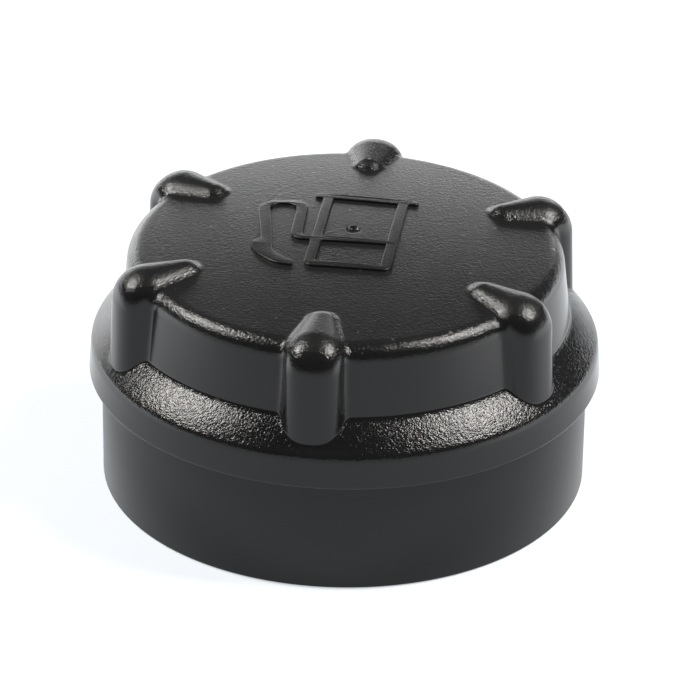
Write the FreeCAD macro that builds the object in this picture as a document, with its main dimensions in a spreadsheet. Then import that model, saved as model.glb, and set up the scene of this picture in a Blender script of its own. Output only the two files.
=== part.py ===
import FreeCAD, Part
import math
import os
import types

import Sketcher

# Screw-on fuel tank cap. A black moulded cover with six finger lugs snaps over a threaded closure and
# drives it through a ratchet. A two-way vent valve sits in the middle of the closure's deck.
# The origin is the centre of the closure's lower rim, on which the cap stands. +Z points up through the knob.
doc = FreeCAD.newDocument("fuel_cap")
sheet = doc.addObject("Spreadsheet::Sheet", "sizes")

# Driving dimensions in millimetres and degrees
DIMENSIONS = {
    # closure: skirt, thread bore, deck
    "thread_radius": 44.45,
    "skirt_wall": 2.75,
    "skirt_edge_round": 0.5,
    "thread_lead_in": 0.8,
    "thread_length": 21.6,
    "gasket_recess": 0.45,
    "gasket_thickness": 2.6,
    "gasket_land": 5.85,
    "gasket_clearance": 0.3,
    "gasket_edge_round": 0.4,
    "gasket_proud": 0.4,
    "lip_thickness": 1.8,
    "lip_height": 2.2,
    "deck_thickness": 3.0,
    "deck_edge_chamfer": 0.5,
    "rib_count": 6,
    "rib_thickness": 2.0,
    "rib_depth": 1.6,
    "port_radius": 10.5,
    "port_wall": 2.0,
    "seat_step": 0.7,
    "seat_width": 1.2,
    "seat_height": 0.8,
    "turret_gap": 3.6,
    "turret_wall": 2.2,
    "turret_height": 9.6,
    "key_count": 3,
    "key_width": 4.0,
    "key_depth": 1.6,
    "key_height": 6.0,
    # cover: rim, slope, knob
    "cover_overlap": 5.4,
    "flange_step": 2.8,
    "rim_height": 6.4,
    "rim_draft": 0.4,
    "rim_edge_round": 1.0,
    "slope_width": 5.6,
    "slope_rise": 5.3,
    "knob_height": 13.7,
    "knob_draft": 1.7,
    "knob_edge_round": 2.8,
    "crown_rise": 1.2,
    "cover_wall": 2.5,
    "cover_clearance": 0.3,
    "ledge_width": 1.9,
    "bearing_play": 0.2,
    # snap bead of the cover in the groove of the deck's edge
    "bead_rise": 3.5,
    "bead_depth": 0.7,
    "bead_flat": 0.6,
    "bead_flank": 0.4,
    "snap_play": 0.35,
    # finger lugs
    "lug_count": 6,
    "lug_half_width": 5.0,
    "lug_inset": 2.6,
    "lug_crest_rise": 2.9,
    "lug_shoulder_round": 7.8,
    "lug_draft": 2.3,
    "lug_nose_inset": 8.7,
    "lug_nose_round": 2.2,
    "lug_nose_drop": 0.5,
    "lug_core_drop": 0.6,
    # ratchet between cover and closure
    "tooth_count": 24,
    "tooth_inset": 5.2,
    "tooth_depth": 1.6,
    "tooth_ring_wall": 2.0,
    "tooth_ring_clearance": 2.0,
    "tooth_overlap": 0.4,
    "pawl_count": 6,
    "pawl_clearance": 0.3,
    "pawl_thickness": 1.7,
    "pawl_height": 5.0,
    "pawl_lift": 0.4,
    "pawl_gap_angle": 0.5,
    "pawl_arm_sweep": 42.0,
    "pawl_root_sweep": 12.0,
    "pawl_root_depth": 0.5,
    "hub_wall": 2.5,
    "hub_clearance": 0.3,
    "hub_play": 0.2,
    # valve cap and filter
    "lid_thickness": 1.6,
    "lid_overhang": 2.0,
    "lid_clearance": 0.1,
    "spigot_wall": 1.6,
    "spigot_depth": 2.4,
    "lid_bore": 6.0,
    "vent_count": 6,
    "vent_radius": 1.4,
    "vent_gap": 0.1,
    "filter_thickness": 1.8,
    "filter_clearance": 0.3,
    "filter_rim_wall": 1.2,
    "filter_margin": 3.0,
    # pressure valve
    "seal_thickness": 1.6,
    "seal_land": 2.6,
    "seal_margin": 1.6,
    "plate_thickness": 1.6,
    "plate_clearance": 1.6,
    "fin_count": 3,
    "fin_width": 3.0,
    "fin_clearance": 0.3,
    "plate_bore": 3.0,
    "locator_radius": 8.0,
    "locator_wall": 1.3,
    "locator_height": 1.2,
    "pressure_wire": 0.8,
    "pressure_turns": 3.0,
    "spring_clearance": 0.3,
    "wire_sides": 8,
    # vacuum valve
    "poppet_radius": 5.2,
    "poppet_thickness": 1.3,
    "poppet_seal_thickness": 0.6,
    "poppet_seal_margin": 0.2,
    "stem_radius": 1.5,
    "stem_chamfer": 0.4,
    "stem_end": 0.6,
    "stem_clearance": 0.02,
    "clip_radius": 4.4,
    "clip_thickness": 0.5,
    "vacuum_wire": 0.5,
    "vacuum_turns": 4.0,
    "vacuum_spring_height": 4.5,
}
for row, (name, value) in enumerate(DIMENSIONS.items(), start=1):
    sheet.set(f"A{row}", name)
    sheet.set(f"B{row}", str(value))
    sheet.setAlias(f"B{row}", name)
doc.recompute()


class Size:
    """A number together with the sheet expression that it comes from."""

    def __init__(self, value, text):
        self.value = value
        self.text = text

    def __add__(self, other):
        other = as_size(other)
        return Size(self.value + other.value, f"({self.text} + {other.text})")

    def __sub__(self, other):
        other = as_size(other)
        return Size(self.value - other.value, f"({self.text} - {other.text})")

    def __mul__(self, other):
        other = as_size(other)
        return Size(self.value * other.value, f"({self.text} * {other.text})")

    def __truediv__(self, other):
        other = as_size(other)
        return Size(self.value / other.value, f"({self.text} / {other.text})")

    def __rtruediv__(self, other):
        return as_size(other) / self

    def __neg__(self):
        return Size(-self.value, f"(0 - {self.text})")

    __radd__ = __add__
    __rmul__ = __mul__


def as_size(number):
    return number if isinstance(number, Size) else Size(number, str(number))


def root(square):
    return Size(math.sqrt(square.value), f"sqrt({square.text})")


def cosine(angle):
    return Size(math.cos(math.radians(angle.value)), f"cos({angle.text})")


def sine(angle):
    return Size(math.sin(math.radians(angle.value)), f"sin({angle.text})")


def polar(radius, angle):
    return radius * cosine(angle), radius * sine(angle)


size = types.SimpleNamespace(**{name: Size(value, f"sizes.{name}") for name, value in DIMENSIONS.items()})
ZERO = as_size(0)


def new_body(label):
    body = doc.addObject("PartDesign::Body", label)
    body.Label = label
    return body


def origin_feature(body, role):
    return next(item for item in body.Origin.OriginFeatures if item.Role == role)


class Drawing:
    """A sketch on one of a body's own planes, with every place and radius bound to the sheet."""

    def __init__(self, body, name, plane, lift=ZERO):
        self.sketch = body.newObject("Sketcher::SketchObject", name)
        self.sketch.AttachmentSupport = [(origin_feature(body, plane), "")]
        self.sketch.MapMode = "FlatFace"
        self.sketch.AttachmentOffset = FreeCAD.Placement(FreeCAD.Vector(0, 0, lift.value), FreeCAD.Rotation())
        if lift is not ZERO:
            self.sketch.setExpression("AttachmentOffset.Base.z", lift.text)

    def bind(self, size, *parts):
        index = self.sketch.addConstraint(Sketcher.Constraint(*parts, size.value))
        self.sketch.setExpression(f"Constraints[{index}]", size.text)

    def pin(self, curve, end, place):
        across, up = place
        for kind, axis, coordinate in (("DistanceX", -2, across), ("DistanceY", -1, up)):
            if coordinate is ZERO:
                self.sketch.addConstraint(Sketcher.Constraint("PointOnObject", curve, end, axis))
            else:
                self.bind(coordinate, kind, curve, end)

    def line(self, start, end):
        return Part.LineSegment(*(FreeCAD.Vector(x.value, y.value, 0) for x, y in (start, end)))

    def arc(self, start, end, radius):
        """The shorter arc that turns left from start to end."""
        first, last = (FreeCAD.Vector(x.value, y.value, 0) for x, y in (start, end))
        chord = last - first
        left = FreeCAD.Vector(-chord.y, chord.x, 0).normalize()
        height = math.sqrt(max(radius.value ** 2 - (chord.Length / 2) ** 2, 0))
        centre = (first + last) * 0.5 + left * height
        from_angle, to_angle = (math.atan2(p.y - centre.y, p.x - centre.x) for p in (first, last))
        circle = Part.Circle(centre, FreeCAD.Vector(0, 0, 1), radius.value)
        return Part.ArcOfCircle(circle, from_angle, to_angle)

    def outline(self, corners):
        """A closed outline. A corner with a third value is reached by an arc of that radius, turning left."""
        curves = []
        for index, corner in enumerate(corners):
            before = corners[index - 1][:2]
            if len(corner) == 3:
                curves.append(self.sketch.addGeometry(self.arc(before, corner[:2], corner[2]), False))
                self.bind(corner[2], "Radius", curves[-1])
            else:
                curves.append(self.sketch.addGeometry(self.line(before, corner), False))
        for index, corner in enumerate(corners):
            following = curves[(index + 1) % len(curves)]
            self.sketch.addConstraint(Sketcher.Constraint("Coincident", curves[index], 2, following, 1))
            self.pin(curves[index], 2, corner[:2])

    def circle(self, centre, radius):
        middle = FreeCAD.Vector(centre[0].value, centre[1].value, 0)
        shape = Part.Circle(middle, FreeCAD.Vector(0, 0, 1), radius.value)
        curve = self.sketch.addGeometry(shape, False)
        self.bind(radius, "Radius", curve)
        if centre[0] is ZERO and centre[1] is ZERO:
            self.sketch.addConstraint(Sketcher.Constraint("Coincident", curve, 3, -1, 1))
        else:
            self.pin(curve, 3, centre)

    def axis(self, start, end):
        curve = self.sketch.addGeometry(self.line(start, end), True)
        self.pin(curve, 1, start)
        self.pin(curve, 2, end)


def unit(direction):
    across, up = direction
    length = root(across * across + up * up)
    return across / length, up / length


def eased(corner, arriving, leaving, radius):
    """The two ends of the arc that rounds a corner where an outline turns left between two directions."""
    before, after = unit(arriving), unit(leaving)
    turn = before[0] * after[1] - before[1] * after[0]
    reach = radius * turn / (1 + before[0] * after[0] + before[1] * after[1])
    start = (corner[0] - before[0] * reach, corner[1] - before[1] * reach)
    end = (corner[0] + after[0] * reach, corner[1] + after[1] * reach, radius)
    return start, end


def turned(body, name, drawing, kind="Revolution"):
    """A solid or a groove turned about the cap's own axis."""
    feature = body.newObject(f"PartDesign::{kind}", name)
    feature.Profile = drawing.sketch
    feature.ReferenceAxis = (origin_feature(body, "Z_Axis"), [""])
    feature.Angle = 360
    return feature


def raised(body, name, drawing, height, downwards=False):
    feature = body.newObject("PartDesign::Pad", name)
    feature.Profile = drawing.sketch
    feature.Length = height.value
    feature.setExpression("Length", height.text)
    feature.Reversed = downwards
    return feature


def sunk(body, name, drawing, depth, upwards=True):
    """A pocket cut from the drawing's plane, upwards unless told otherwise."""
    feature = body.newObject("PartDesign::Pocket", name)
    feature.Profile = drawing.sketch
    feature.Length = depth.value
    feature.setExpression("Length", depth.text)
    feature.Reversed = upwards
    return feature


def patterned(body, name, features, count):
    """Copies of features spread evenly about the cap's axis."""
    feature = body.newObject("PartDesign::PolarPattern", name)
    feature.Originals = features
    feature.Axis = (origin_feature(body, "Z_Axis"), [""])
    feature.Angle = 360
    feature.Occurrences = int(count.value)
    feature.setExpression("Occurrences", count.text)
    body.Tip = feature
    return feature


def rounded(body, name, base, radius, circles):
    """Fillets the round edges of a feature that lie on the named circles, each a radius and a height."""
    doc.recompute()
    chosen = []
    for index, edge in enumerate(base.Shape.Edges, start=1):
        if edge.Degenerated or not isinstance(edge.Curve, Part.Circle):
            continue
        for circle_radius, height in circles:
            same_radius = abs(edge.Curve.Radius - circle_radius.value) < 1e-4
            same_height = abs(edge.Curve.Center.z - height.value) < 1e-4
            if same_radius and same_height:
                chosen.append(f"Edge{index}")
    feature = body.newObject("PartDesign::Fillet", name)
    feature.Base = (base, chosen)
    feature.Radius = radius.value
    feature.setExpression("Radius", radius.text)
    return feature


# Levels shared by the closure and the cover
gasket_face = size.thread_lead_in + size.thread_length + size.gasket_proud
deck_bottom = gasket_face + size.gasket_thickness
deck_top = deck_bottom + size.deck_thickness
turret_top = deck_top + size.turret_height
skirt_radius = size.thread_radius + size.skirt_wall
skirt_height = deck_top - size.cover_overlap
bead_middle = skirt_height + size.bead_rise

# Threaded closure: skirt, thread bore and deck in one moulding, with the valve turret on the deck.
# The plain bore is the root of the neck thread.
closure = new_body("threaded_closure")
recess_radius = size.thread_radius + size.gasket_recess
gasket_inner = size.thread_radius - size.gasket_land
lip_outer = gasket_inner - size.gasket_clearance
lip_inner = lip_outer - size.lip_thickness
seat_inner = size.port_radius + size.seat_step
seat_outer = seat_inner + size.seat_width
seat_top = deck_top + size.seat_height
turret_bore = seat_outer + size.turret_gap
turret_radius = turret_bore + size.turret_wall
groove_radius = skirt_radius + size.cover_clearance - size.bead_depth - size.snap_play
groove_flat = size.bead_flat / 2 + size.snap_play
groove_flank = size.bead_flank + size.snap_play / 2
section = Drawing(closure, "closure_section", "XZ_Plane")
section.outline([
    (size.thread_radius + size.thread_lead_in, ZERO),
    (skirt_radius, ZERO),
    (skirt_radius, bead_middle - groove_flat - groove_flank),
    (groove_radius, bead_middle - groove_flat),
    (groove_radius, bead_middle + groove_flat),
    (skirt_radius, bead_middle + groove_flat + groove_flank),
    (skirt_radius, deck_top - size.deck_edge_chamfer),
    (skirt_radius - size.deck_edge_chamfer, deck_top),
    (turret_radius, deck_top),
    (turret_radius, turret_top),
    (turret_bore, turret_top),
    (turret_bore, deck_top),
    (seat_outer, deck_top),
    (seat_outer, seat_top),
    (seat_inner, seat_top),
    (seat_inner, deck_top),
    (size.port_radius, deck_top),
    (size.port_radius, deck_bottom - size.rib_depth),
    (size.port_radius + size.port_wall, deck_bottom - size.rib_depth),
    (size.port_radius + size.port_wall, deck_bottom),
    (lip_inner, deck_bottom),
    (lip_inner, deck_bottom - size.lip_height),
    (lip_outer, deck_bottom - size.lip_height),
    (lip_outer, deck_bottom),
    (recess_radius, deck_bottom),
    (recess_radius, size.thread_lead_in + size.thread_length),
    (size.thread_radius, size.thread_lead_in + size.thread_length),
    (size.thread_radius, size.thread_lead_in),
])
closure_solid = turned(closure, "closure_solid", section)
rounded(closure, "skirt_edge", closure_solid, size.skirt_edge_round, [(skirt_radius, ZERO)])

# Stiffening ribs under the deck, from the port's wall to the gasket lip
rib_half = size.rib_thickness / 2
rib_plan = Drawing(closure, "rib_plan", "XY_Plane", deck_bottom)
rib_plan.outline([
    (-rib_half, size.port_radius + size.port_wall / 2),
    (rib_half, size.port_radius + size.port_wall / 2),
    (rib_half, lip_inner + size.lip_thickness / 2),
    (-rib_half, lip_inner + size.lip_thickness / 2),
])
rib = raised(closure, "deck_rib", rib_plan, size.rib_depth, downwards=True)
patterned(closure, "deck_ribs", [rib], size.rib_count)

# Keys on the turret that stop the ratchet ring from turning
key_half = size.key_width / 2
key_plan = Drawing(closure, "key_plan", "XY_Plane", deck_top)
key_plan.outline([
    (-key_half, turret_bore + size.turret_wall / 2),
    (key_half, turret_bore + size.turret_wall / 2),
    (key_half, turret_radius + size.key_depth),
    (-key_half, turret_radius + size.key_depth),
])
key = raised(closure, "ratchet_key", key_plan, size.key_height)
patterned(closure, "ratchet_keys", [key], size.key_count)

# Neck gasket: flat rubber ring in the recess above the thread, on the deck's underside
gasket = new_body("neck_gasket")
gasket_outer = recess_radius - size.gasket_clearance
gasket_section = Drawing(gasket, "gasket_section", "XZ_Plane")
gasket_section.outline([
    (gasket_inner, gasket_face),
    (gasket_outer, gasket_face),
    (gasket_outer, deck_bottom),
    (gasket_inner, deck_bottom),
])
gasket_solid = turned(gasket, "gasket_solid", gasket_section)
rounded(gasket, "gasket_edges", gasket_solid, size.gasket_edge_round,
        [(gasket_inner, gasket_face), (gasket_outer, gasket_face)])

# Grip cover, first its outside: rim, sloped flange and knob turned as one solid
knob = new_body("knob")
flange_radius = skirt_radius + size.flange_step
rim_top = skirt_height + size.rim_height
rim_top_radius = flange_radius - size.rim_draft
knob_foot_radius = rim_top_radius - size.slope_width
knob_foot = rim_top + size.slope_rise
knob_top_radius = knob_foot_radius - size.knob_draft
knob_top = knob_foot + size.knob_height
rim_edge = eased(
    (rim_top_radius, rim_top),
    (-size.rim_draft, size.rim_height),
    (-size.slope_width, size.slope_rise),
    size.rim_edge_round,
)
crown_start = (
    size.crown_rise * size.crown_rise - knob_top_radius * knob_top_radius,
    2 * size.crown_rise * knob_top_radius,
)
knob_edge = eased(
    (knob_top_radius, knob_top),
    (-size.knob_draft, size.knob_height),
    crown_start,
    size.knob_edge_round,
)
crown_top = knob_top + size.crown_rise
crown_edge_radius, crown_edge_height, _ = knob_edge[1]
crown_rise_left = crown_top - crown_edge_height
crown_radius = (
    (crown_edge_radius * crown_edge_radius + crown_rise_left * crown_rise_left) / (2 * crown_rise_left)
)
outside = Drawing(knob, "cover_section", "XZ_Plane")
outside.outline([
    (ZERO, skirt_height),
    (flange_radius, skirt_height),
    *rim_edge,
    (knob_foot_radius, knob_foot),
    *knob_edge,
    (ZERO, crown_top, crown_radius),
])
turned(knob, "cover_solid", outside)

# Finger lug, drawn on +Y: a drafted half-round column on the knob's wall, bent over the knob's edge in a
# round shoulder, and a crest that narrows to a round nose on the crown
lug = new_body("finger_lug")
lug_reach = flange_radius - size.lug_inset
nose_centre = knob_top_radius - size.lug_nose_inset
crest = knob_top + size.lug_crest_rise
shoulder_centre = crest - size.lug_shoulder_round
bend_line = lug_reach - size.lug_shoulder_round
half_round_start = size.lug_shoulder_round - size.lug_half_width


def half_round(drawing, half_width, foot, start):
    """The lug's section: straight sides from its foot, then a half circle."""
    drawing.outline([
        (-half_width, foot),
        (half_width, foot),
        (half_width, start),
        (ZERO, start + half_width, half_width),
        (-half_width, start, half_width),
    ])


column_plan = Drawing(lug, "column_plan", "XY_Plane", shoulder_centre)
half_round(column_plan, size.lug_half_width, bend_line, bend_line + half_round_start)
column = raised(lug, "lug_column", column_plan, shoulder_centre - rim_top, downwards=True)
column.TaperAngle = size.lug_draft.value
column.setExpression("TaperAngle", size.lug_draft.text)

shoulder_plan = Drawing(lug, "shoulder_plan", "XY_Plane", shoulder_centre)
half_round(shoulder_plan, size.lug_half_width, bend_line, bend_line + half_round_start)
shoulder_plan.axis((-size.lug_half_width, bend_line), (size.lug_half_width, bend_line))
shoulder = lug.newObject("PartDesign::Revolution", "lug_shoulder")
shoulder.Profile = shoulder_plan.sketch
shoulder.ReferenceAxis = (shoulder_plan.sketch, ["Axis0"])
shoulder.Angle = 90

crest_start = Drawing(lug, "crest_start", "XZ_Plane", -bend_line)
half_round(crest_start, size.lug_half_width, shoulder_centre, shoulder_centre + half_round_start)
nose_start = crest - size.lug_nose_drop - size.lug_nose_round
crest_end = Drawing(lug, "crest_end", "XZ_Plane", -nose_centre)
half_round(crest_end, size.lug_nose_round, shoulder_centre, nose_start)
crest_taper = lug.newObject("PartDesign::AdditiveLoft", "lug_crest")
crest_taper.Profile = crest_start.sketch
crest_taper.Sections = [crest_end.sketch]
crest_taper.Ruled = True

nose_side = Drawing(lug, "nose_side", "YZ_Plane")
nose_side.outline([
    (nose_centre - size.lug_nose_round, shoulder_centre),
    (nose_centre, shoulder_centre),
    (nose_centre, nose_start + size.lug_nose_round),
    (nose_centre - size.lug_nose_round, nose_start, size.lug_nose_round),
])
nose_side.axis((nose_centre, shoulder_centre), (nose_centre, nose_start))
nose = lug.newObject("PartDesign::Revolution", "lug_nose")
nose.Profile = nose_side.sketch
nose.ReferenceAxis = (nose_side.sketch, ["Axis0"])
nose.Angle = 180
nose.Midplane = True

# The knob with a ring of lugs
placed_lugs = []
for index in range(int(size.lug_count.value)):
    copy = doc.addObject("App::Link", f"lug_{index}")
    copy.LinkedObject = lug
    copy.setExpression("Placement.Rotation.Angle", f"360 * {index} / {size.lug_count.text}")
    placed_lugs.append(copy)
lugged_knob = doc.addObject("Part::MultiFuse", "lugged_knob")
lugged_knob.Shapes = [knob, *placed_lugs]
doc.recompute()

# Grip cover, then its inside: hollowed from below to an even wall, with the snap bead and the bearing ledge
cover = new_body("grip_cover")
cover.BaseFeature = lugged_knob
cavity_radius = skirt_radius + size.cover_clearance
bearing_level = deck_top + size.bearing_play
inner_top_radius = knob_top_radius - size.cover_wall
ceiling_radius = (
    (inner_top_radius * inner_top_radius + size.crown_rise * size.crown_rise) / (2 * size.crown_rise)
)
inside = Drawing(cover, "cavity_section", "XZ_Plane")
inside.outline([
    (ZERO, skirt_height - size.cover_wall),
    (cavity_radius, skirt_height - size.cover_wall),
    (cavity_radius, bead_middle - size.bead_flat / 2 - size.bead_flank),
    (cavity_radius - size.bead_depth, bead_middle - size.bead_flat / 2),
    (cavity_radius - size.bead_depth, bead_middle + size.bead_flat / 2),
    (cavity_radius, bead_middle + size.bead_flat / 2 + size.bead_flank),
    (cavity_radius, bearing_level),
    (cavity_radius - size.ledge_width, bearing_level),
    (knob_foot_radius - size.cover_wall, knob_foot - size.cover_wall / 2),
    (inner_top_radius, knob_top - size.cover_wall),
    (ZERO, crown_top - size.cover_wall, ceiling_radius),
])
turned(cover, "cavity", inside, "Groove")

# Cores that hollow the lugs
core_half = size.lug_half_width - size.cover_wall
core_end = bend_line + half_round_start
core_plan = Drawing(cover, "core_plan", "XY_Plane", bearing_level)
half_round(core_plan, core_half, inner_top_radius - size.cover_wall, core_end)
core_height = knob_top - size.cover_wall - size.lug_core_drop - bearing_level
core = sunk(cover, "lug_core", core_plan, core_height)
patterned(cover, "lug_cores", [core], size.lug_count)

# Toothed ring under the cover's top. Each tooth has a steep face that drives and a ramp that slips.
tooth_root = inner_top_radius - size.tooth_inset
ring_bottom = deck_top + size.tooth_ring_clearance
ring_height = knob_top - size.cover_wall / 2 - ring_bottom
ring_plan = Drawing(cover, "tooth_ring_plan", "XY_Plane", ring_bottom)
ring_plan.circle((ZERO, ZERO), tooth_root + size.tooth_ring_wall)
ring_plan.circle((ZERO, ZERO), tooth_root)
raised(cover, "tooth_ring", ring_plan, ring_height)
tooth_pitch = 360 / size.tooth_count
tooth_back = tooth_root + size.tooth_overlap
tooth_tip = tooth_root - size.tooth_depth
tooth_plan = Drawing(cover, "tooth_plan", "XY_Plane", ring_bottom)
tooth_plan.outline([
    (tooth_tip, ZERO),
    (tooth_back, ZERO),
    polar(tooth_back, -tooth_pitch),
])
tooth = raised(cover, "ratchet_tooth", tooth_plan, ring_height)
patterned(cover, "ratchet_teeth", [tooth], size.tooth_count)

# Ratchet ring: hub keyed to the closure's turret, with six spring arms whose ends lie in the teeth
ratchet = new_body("ratchet_ring")
hub_inner = turret_radius + size.hub_clearance
hub_outer = hub_inner + size.hub_wall
hub_plan = Drawing(ratchet, "hub_plan", "XY_Plane", deck_top)
hub_plan.circle((ZERO, ZERO), hub_outer)
hub_plan.circle((ZERO, ZERO), hub_inner)
raised(ratchet, "hub", hub_plan, size.turret_height - size.hub_play)
pawl_reach = tooth_root - size.pawl_clearance
pawl_bend = tooth_tip - size.pawl_clearance
arm_root = hub_outer - size.pawl_root_depth
arm_end = tooth_pitch + size.pawl_arm_sweep
pawl_plan = Drawing(ratchet, "pawl_plan", "XY_Plane", ring_bottom + size.pawl_lift)
pawl_plan.outline([
    polar(pawl_reach - size.pawl_thickness, size.pawl_gap_angle),
    polar(pawl_reach, size.pawl_gap_angle),
    polar(pawl_bend, tooth_pitch),
    polar(arm_root, arm_end),
    polar(arm_root, arm_end - size.pawl_root_sweep),
    polar(pawl_bend - size.pawl_thickness, tooth_pitch),
])
pawl = raised(ratchet, "pawl", pawl_plan, size.pawl_height)
patterned(ratchet, "pawls", [pawl], size.pawl_count)
keyway_half = key_half + size.hub_clearance
keyway_plan = Drawing(ratchet, "keyway_plan", "XY_Plane", deck_top)
keyway_plan.outline([
    (-keyway_half, turret_bore),
    (keyway_half, turret_bore),
    (keyway_half, turret_radius + size.key_depth + size.hub_clearance),
    (-keyway_half, turret_radius + size.key_depth + size.hub_clearance),
])
keyway = sunk(ratchet, "keyway", keyway_plan, size.key_height + size.hub_clearance)
patterned(ratchet, "keyways", [keyway], size.key_count)

# Valve cap: lid pressed into the turret's bore. It keeps the ratchet ring down, backs the pressure spring and
# carries the filter between two low rims, over a ring of vent holes.
cap = new_body("valve_cap")
pressure_mean = size.locator_radius + size.spring_clearance + size.pressure_wire / 2
vent_circle = pressure_mean + size.pressure_wire / 2 + size.vent_gap + size.vent_radius
filter_radius = vent_circle + size.vent_radius + size.filter_margin
spigot_outer = turret_bore - size.lid_clearance
spigot_inner = spigot_outer - size.spigot_wall
lid_top = turret_top + size.lid_thickness
rim_level = lid_top + size.filter_thickness
filter_rim_inner = filter_radius + size.filter_clearance
bore_rim_outer = size.lid_bore + size.filter_rim_wall
cap_section = Drawing(cap, "cap_section", "XZ_Plane")
cap_section.outline([
    (size.lid_bore, turret_top),
    (spigot_inner, turret_top),
    (spigot_inner, turret_top - size.spigot_depth),
    (spigot_outer, turret_top - size.spigot_depth),
    (spigot_outer, turret_top),
    (turret_radius + size.lid_overhang, turret_top),
    (turret_radius + size.lid_overhang, lid_top),
    (filter_rim_inner + size.filter_rim_wall, lid_top),
    (filter_rim_inner + size.filter_rim_wall, rim_level),
    (filter_rim_inner, rim_level),
    (filter_rim_inner, lid_top),
    (bore_rim_outer, lid_top),
    (bore_rim_outer, rim_level),
    (size.lid_bore, rim_level),
])
turned(cap, "cap_solid", cap_section)
vent_plan = Drawing(cap, "vent_plan", "XY_Plane", turret_top)
vent_plan.circle((ZERO, vent_circle), size.vent_radius)
vent = sunk(cap, "vent_hole", vent_plan, size.lid_thickness)
patterned(cap, "vent_holes", [vent], size.vent_count)

# Vent filter: open foam ring on the lid
vent_filter = new_body("vent_filter")
filter_plan = Drawing(vent_filter, "filter_plan", "XY_Plane", lid_top)
filter_plan.circle((ZERO, ZERO), filter_radius)
filter_plan.circle((ZERO, ZERO), bore_rim_outer + size.filter_clearance)
raised(vent_filter, "filter_ring", filter_plan, size.filter_thickness)

# Pressure valve: rubber seal ring on the closure's seat, and the plate that presses it down
seal = new_body("pressure_seal")
seal_inner = seat_inner - size.seal_land
seal_plan = Drawing(seal, "seal_plan", "XY_Plane", seat_top)
seal_plan.circle((ZERO, ZERO), seat_outer + size.seal_margin)
seal_plan.circle((ZERO, ZERO), seal_inner)
raised(seal, "seal_ring", seal_plan, size.seal_thickness)

plate = new_body("pressure_plate")
plate_bottom = seat_top + size.seal_thickness
plate_top = plate_bottom + size.plate_thickness
plate_radius = turret_bore - size.plate_clearance
plate_section = Drawing(plate, "plate_section", "XZ_Plane")
plate_section.outline([
    (size.plate_bore, plate_bottom),
    (plate_radius, plate_bottom),
    (plate_radius, plate_top),
    (size.locator_radius, plate_top),
    (size.locator_radius, plate_top + size.locator_height),
    (size.locator_radius - size.locator_wall, plate_top + size.locator_height),
    (size.locator_radius - size.locator_wall, plate_top),
    (size.plate_bore, plate_top),
])
turned(plate, "plate_solid", plate_section)
fin_half = size.fin_width / 2
fin_plan = Drawing(plate, "fin_plan", "XY_Plane", plate_bottom)
fin_plan.outline([
    (-fin_half, plate_radius - size.fin_width),
    (fin_half, plate_radius - size.fin_width),
    (fin_half, turret_bore - size.fin_clearance),
    (-fin_half, turret_bore - size.fin_clearance),
])
fin = raised(plate, "guide_fin", fin_plan, size.plate_thickness)
patterned(plate, "guide_fins", [fin], size.fin_count)


def coil_spring(label, mean_radius, wire, bottom, top, turns):
    """A compression spring between two levels. The wire has as many sides as the sheet says."""
    coil = doc.addObject("Part::Helix", f"{label}_coil")
    coil.setExpression("Radius", mean_radius.text)
    coil.setExpression("Height", (top - bottom - wire).text)
    coil.setExpression("Pitch", ((top - bottom - wire) / turns).text)
    coil.setExpression("Placement.Base.z", (bottom + wire / 2).text)
    wire_section = doc.addObject("Part::RegularPolygon", f"{label}_wire")
    wire_section.setExpression("Polygon", size.wire_sides.text)
    wire_section.setExpression("Circumradius", (wire / 2).text)
    wire_section.Placement.Rotation = FreeCAD.Rotation(FreeCAD.Vector(1, 0, 0), 90)
    wire_section.setExpression("Placement.Base.x", mean_radius.text)
    wire_section.setExpression("Placement.Base.z", (bottom + wire / 2).text)
    spring = doc.addObject("Part::Sweep", label)
    spring.Label = label
    spring.Sections = [wire_section]
    spring.Spine = (coil, [])
    spring.Solid = True
    spring.Frenet = True
    return spring


pressure_spring = coil_spring(
    "pressure_spring", pressure_mean, size.pressure_wire, plate_top, turret_top, size.pressure_turns
)

# Vacuum valve: poppet under the plate with its own seal, pulled up by a small spring under a clip
poppet = new_body("vacuum_poppet")
head_top = plate_bottom - size.poppet_seal_thickness
head_bottom = head_top - size.poppet_thickness
clip_bottom = plate_top + size.vacuum_spring_height
clip_top = clip_bottom + size.clip_thickness
stem_top = clip_top + size.stem_end
poppet_section = Drawing(poppet, "poppet_section", "XZ_Plane")
poppet_section.outline([
    (ZERO, head_bottom),
    (size.poppet_radius, head_bottom),
    (size.poppet_radius, head_top),
    (size.stem_radius, head_top),
    (size.stem_radius, stem_top - size.stem_chamfer),
    (size.stem_radius - size.stem_chamfer, stem_top),
    (ZERO, stem_top),
])
turned(poppet, "poppet_solid", poppet_section)

stem_hole = size.stem_radius + size.stem_clearance
vacuum_seal = new_body("vacuum_seal")
vacuum_seal_plan = Drawing(vacuum_seal, "vacuum_seal_plan", "XY_Plane", head_top)
vacuum_seal_plan.circle((ZERO, ZERO), size.poppet_radius - size.poppet_seal_margin)
vacuum_seal_plan.circle((ZERO, ZERO), stem_hole)
raised(vacuum_seal, "vacuum_seal_ring", vacuum_seal_plan, size.poppet_seal_thickness)

vacuum_mean = size.plate_bore + size.spring_clearance + size.vacuum_wire / 2
vacuum_spring = coil_spring(
    "vacuum_spring", vacuum_mean, size.vacuum_wire, plate_top, clip_bottom, size.vacuum_turns
)

clip = new_body("vacuum_clip")
clip_plan = Drawing(clip, "clip_plan", "XY_Plane", clip_bottom)
clip_plan.circle((ZERO, ZERO), size.clip_radius)
clip_plan.circle((ZERO, ZERO), stem_hole)
raised(clip, "clip_ring", clip_plan, size.clip_thickness)

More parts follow.
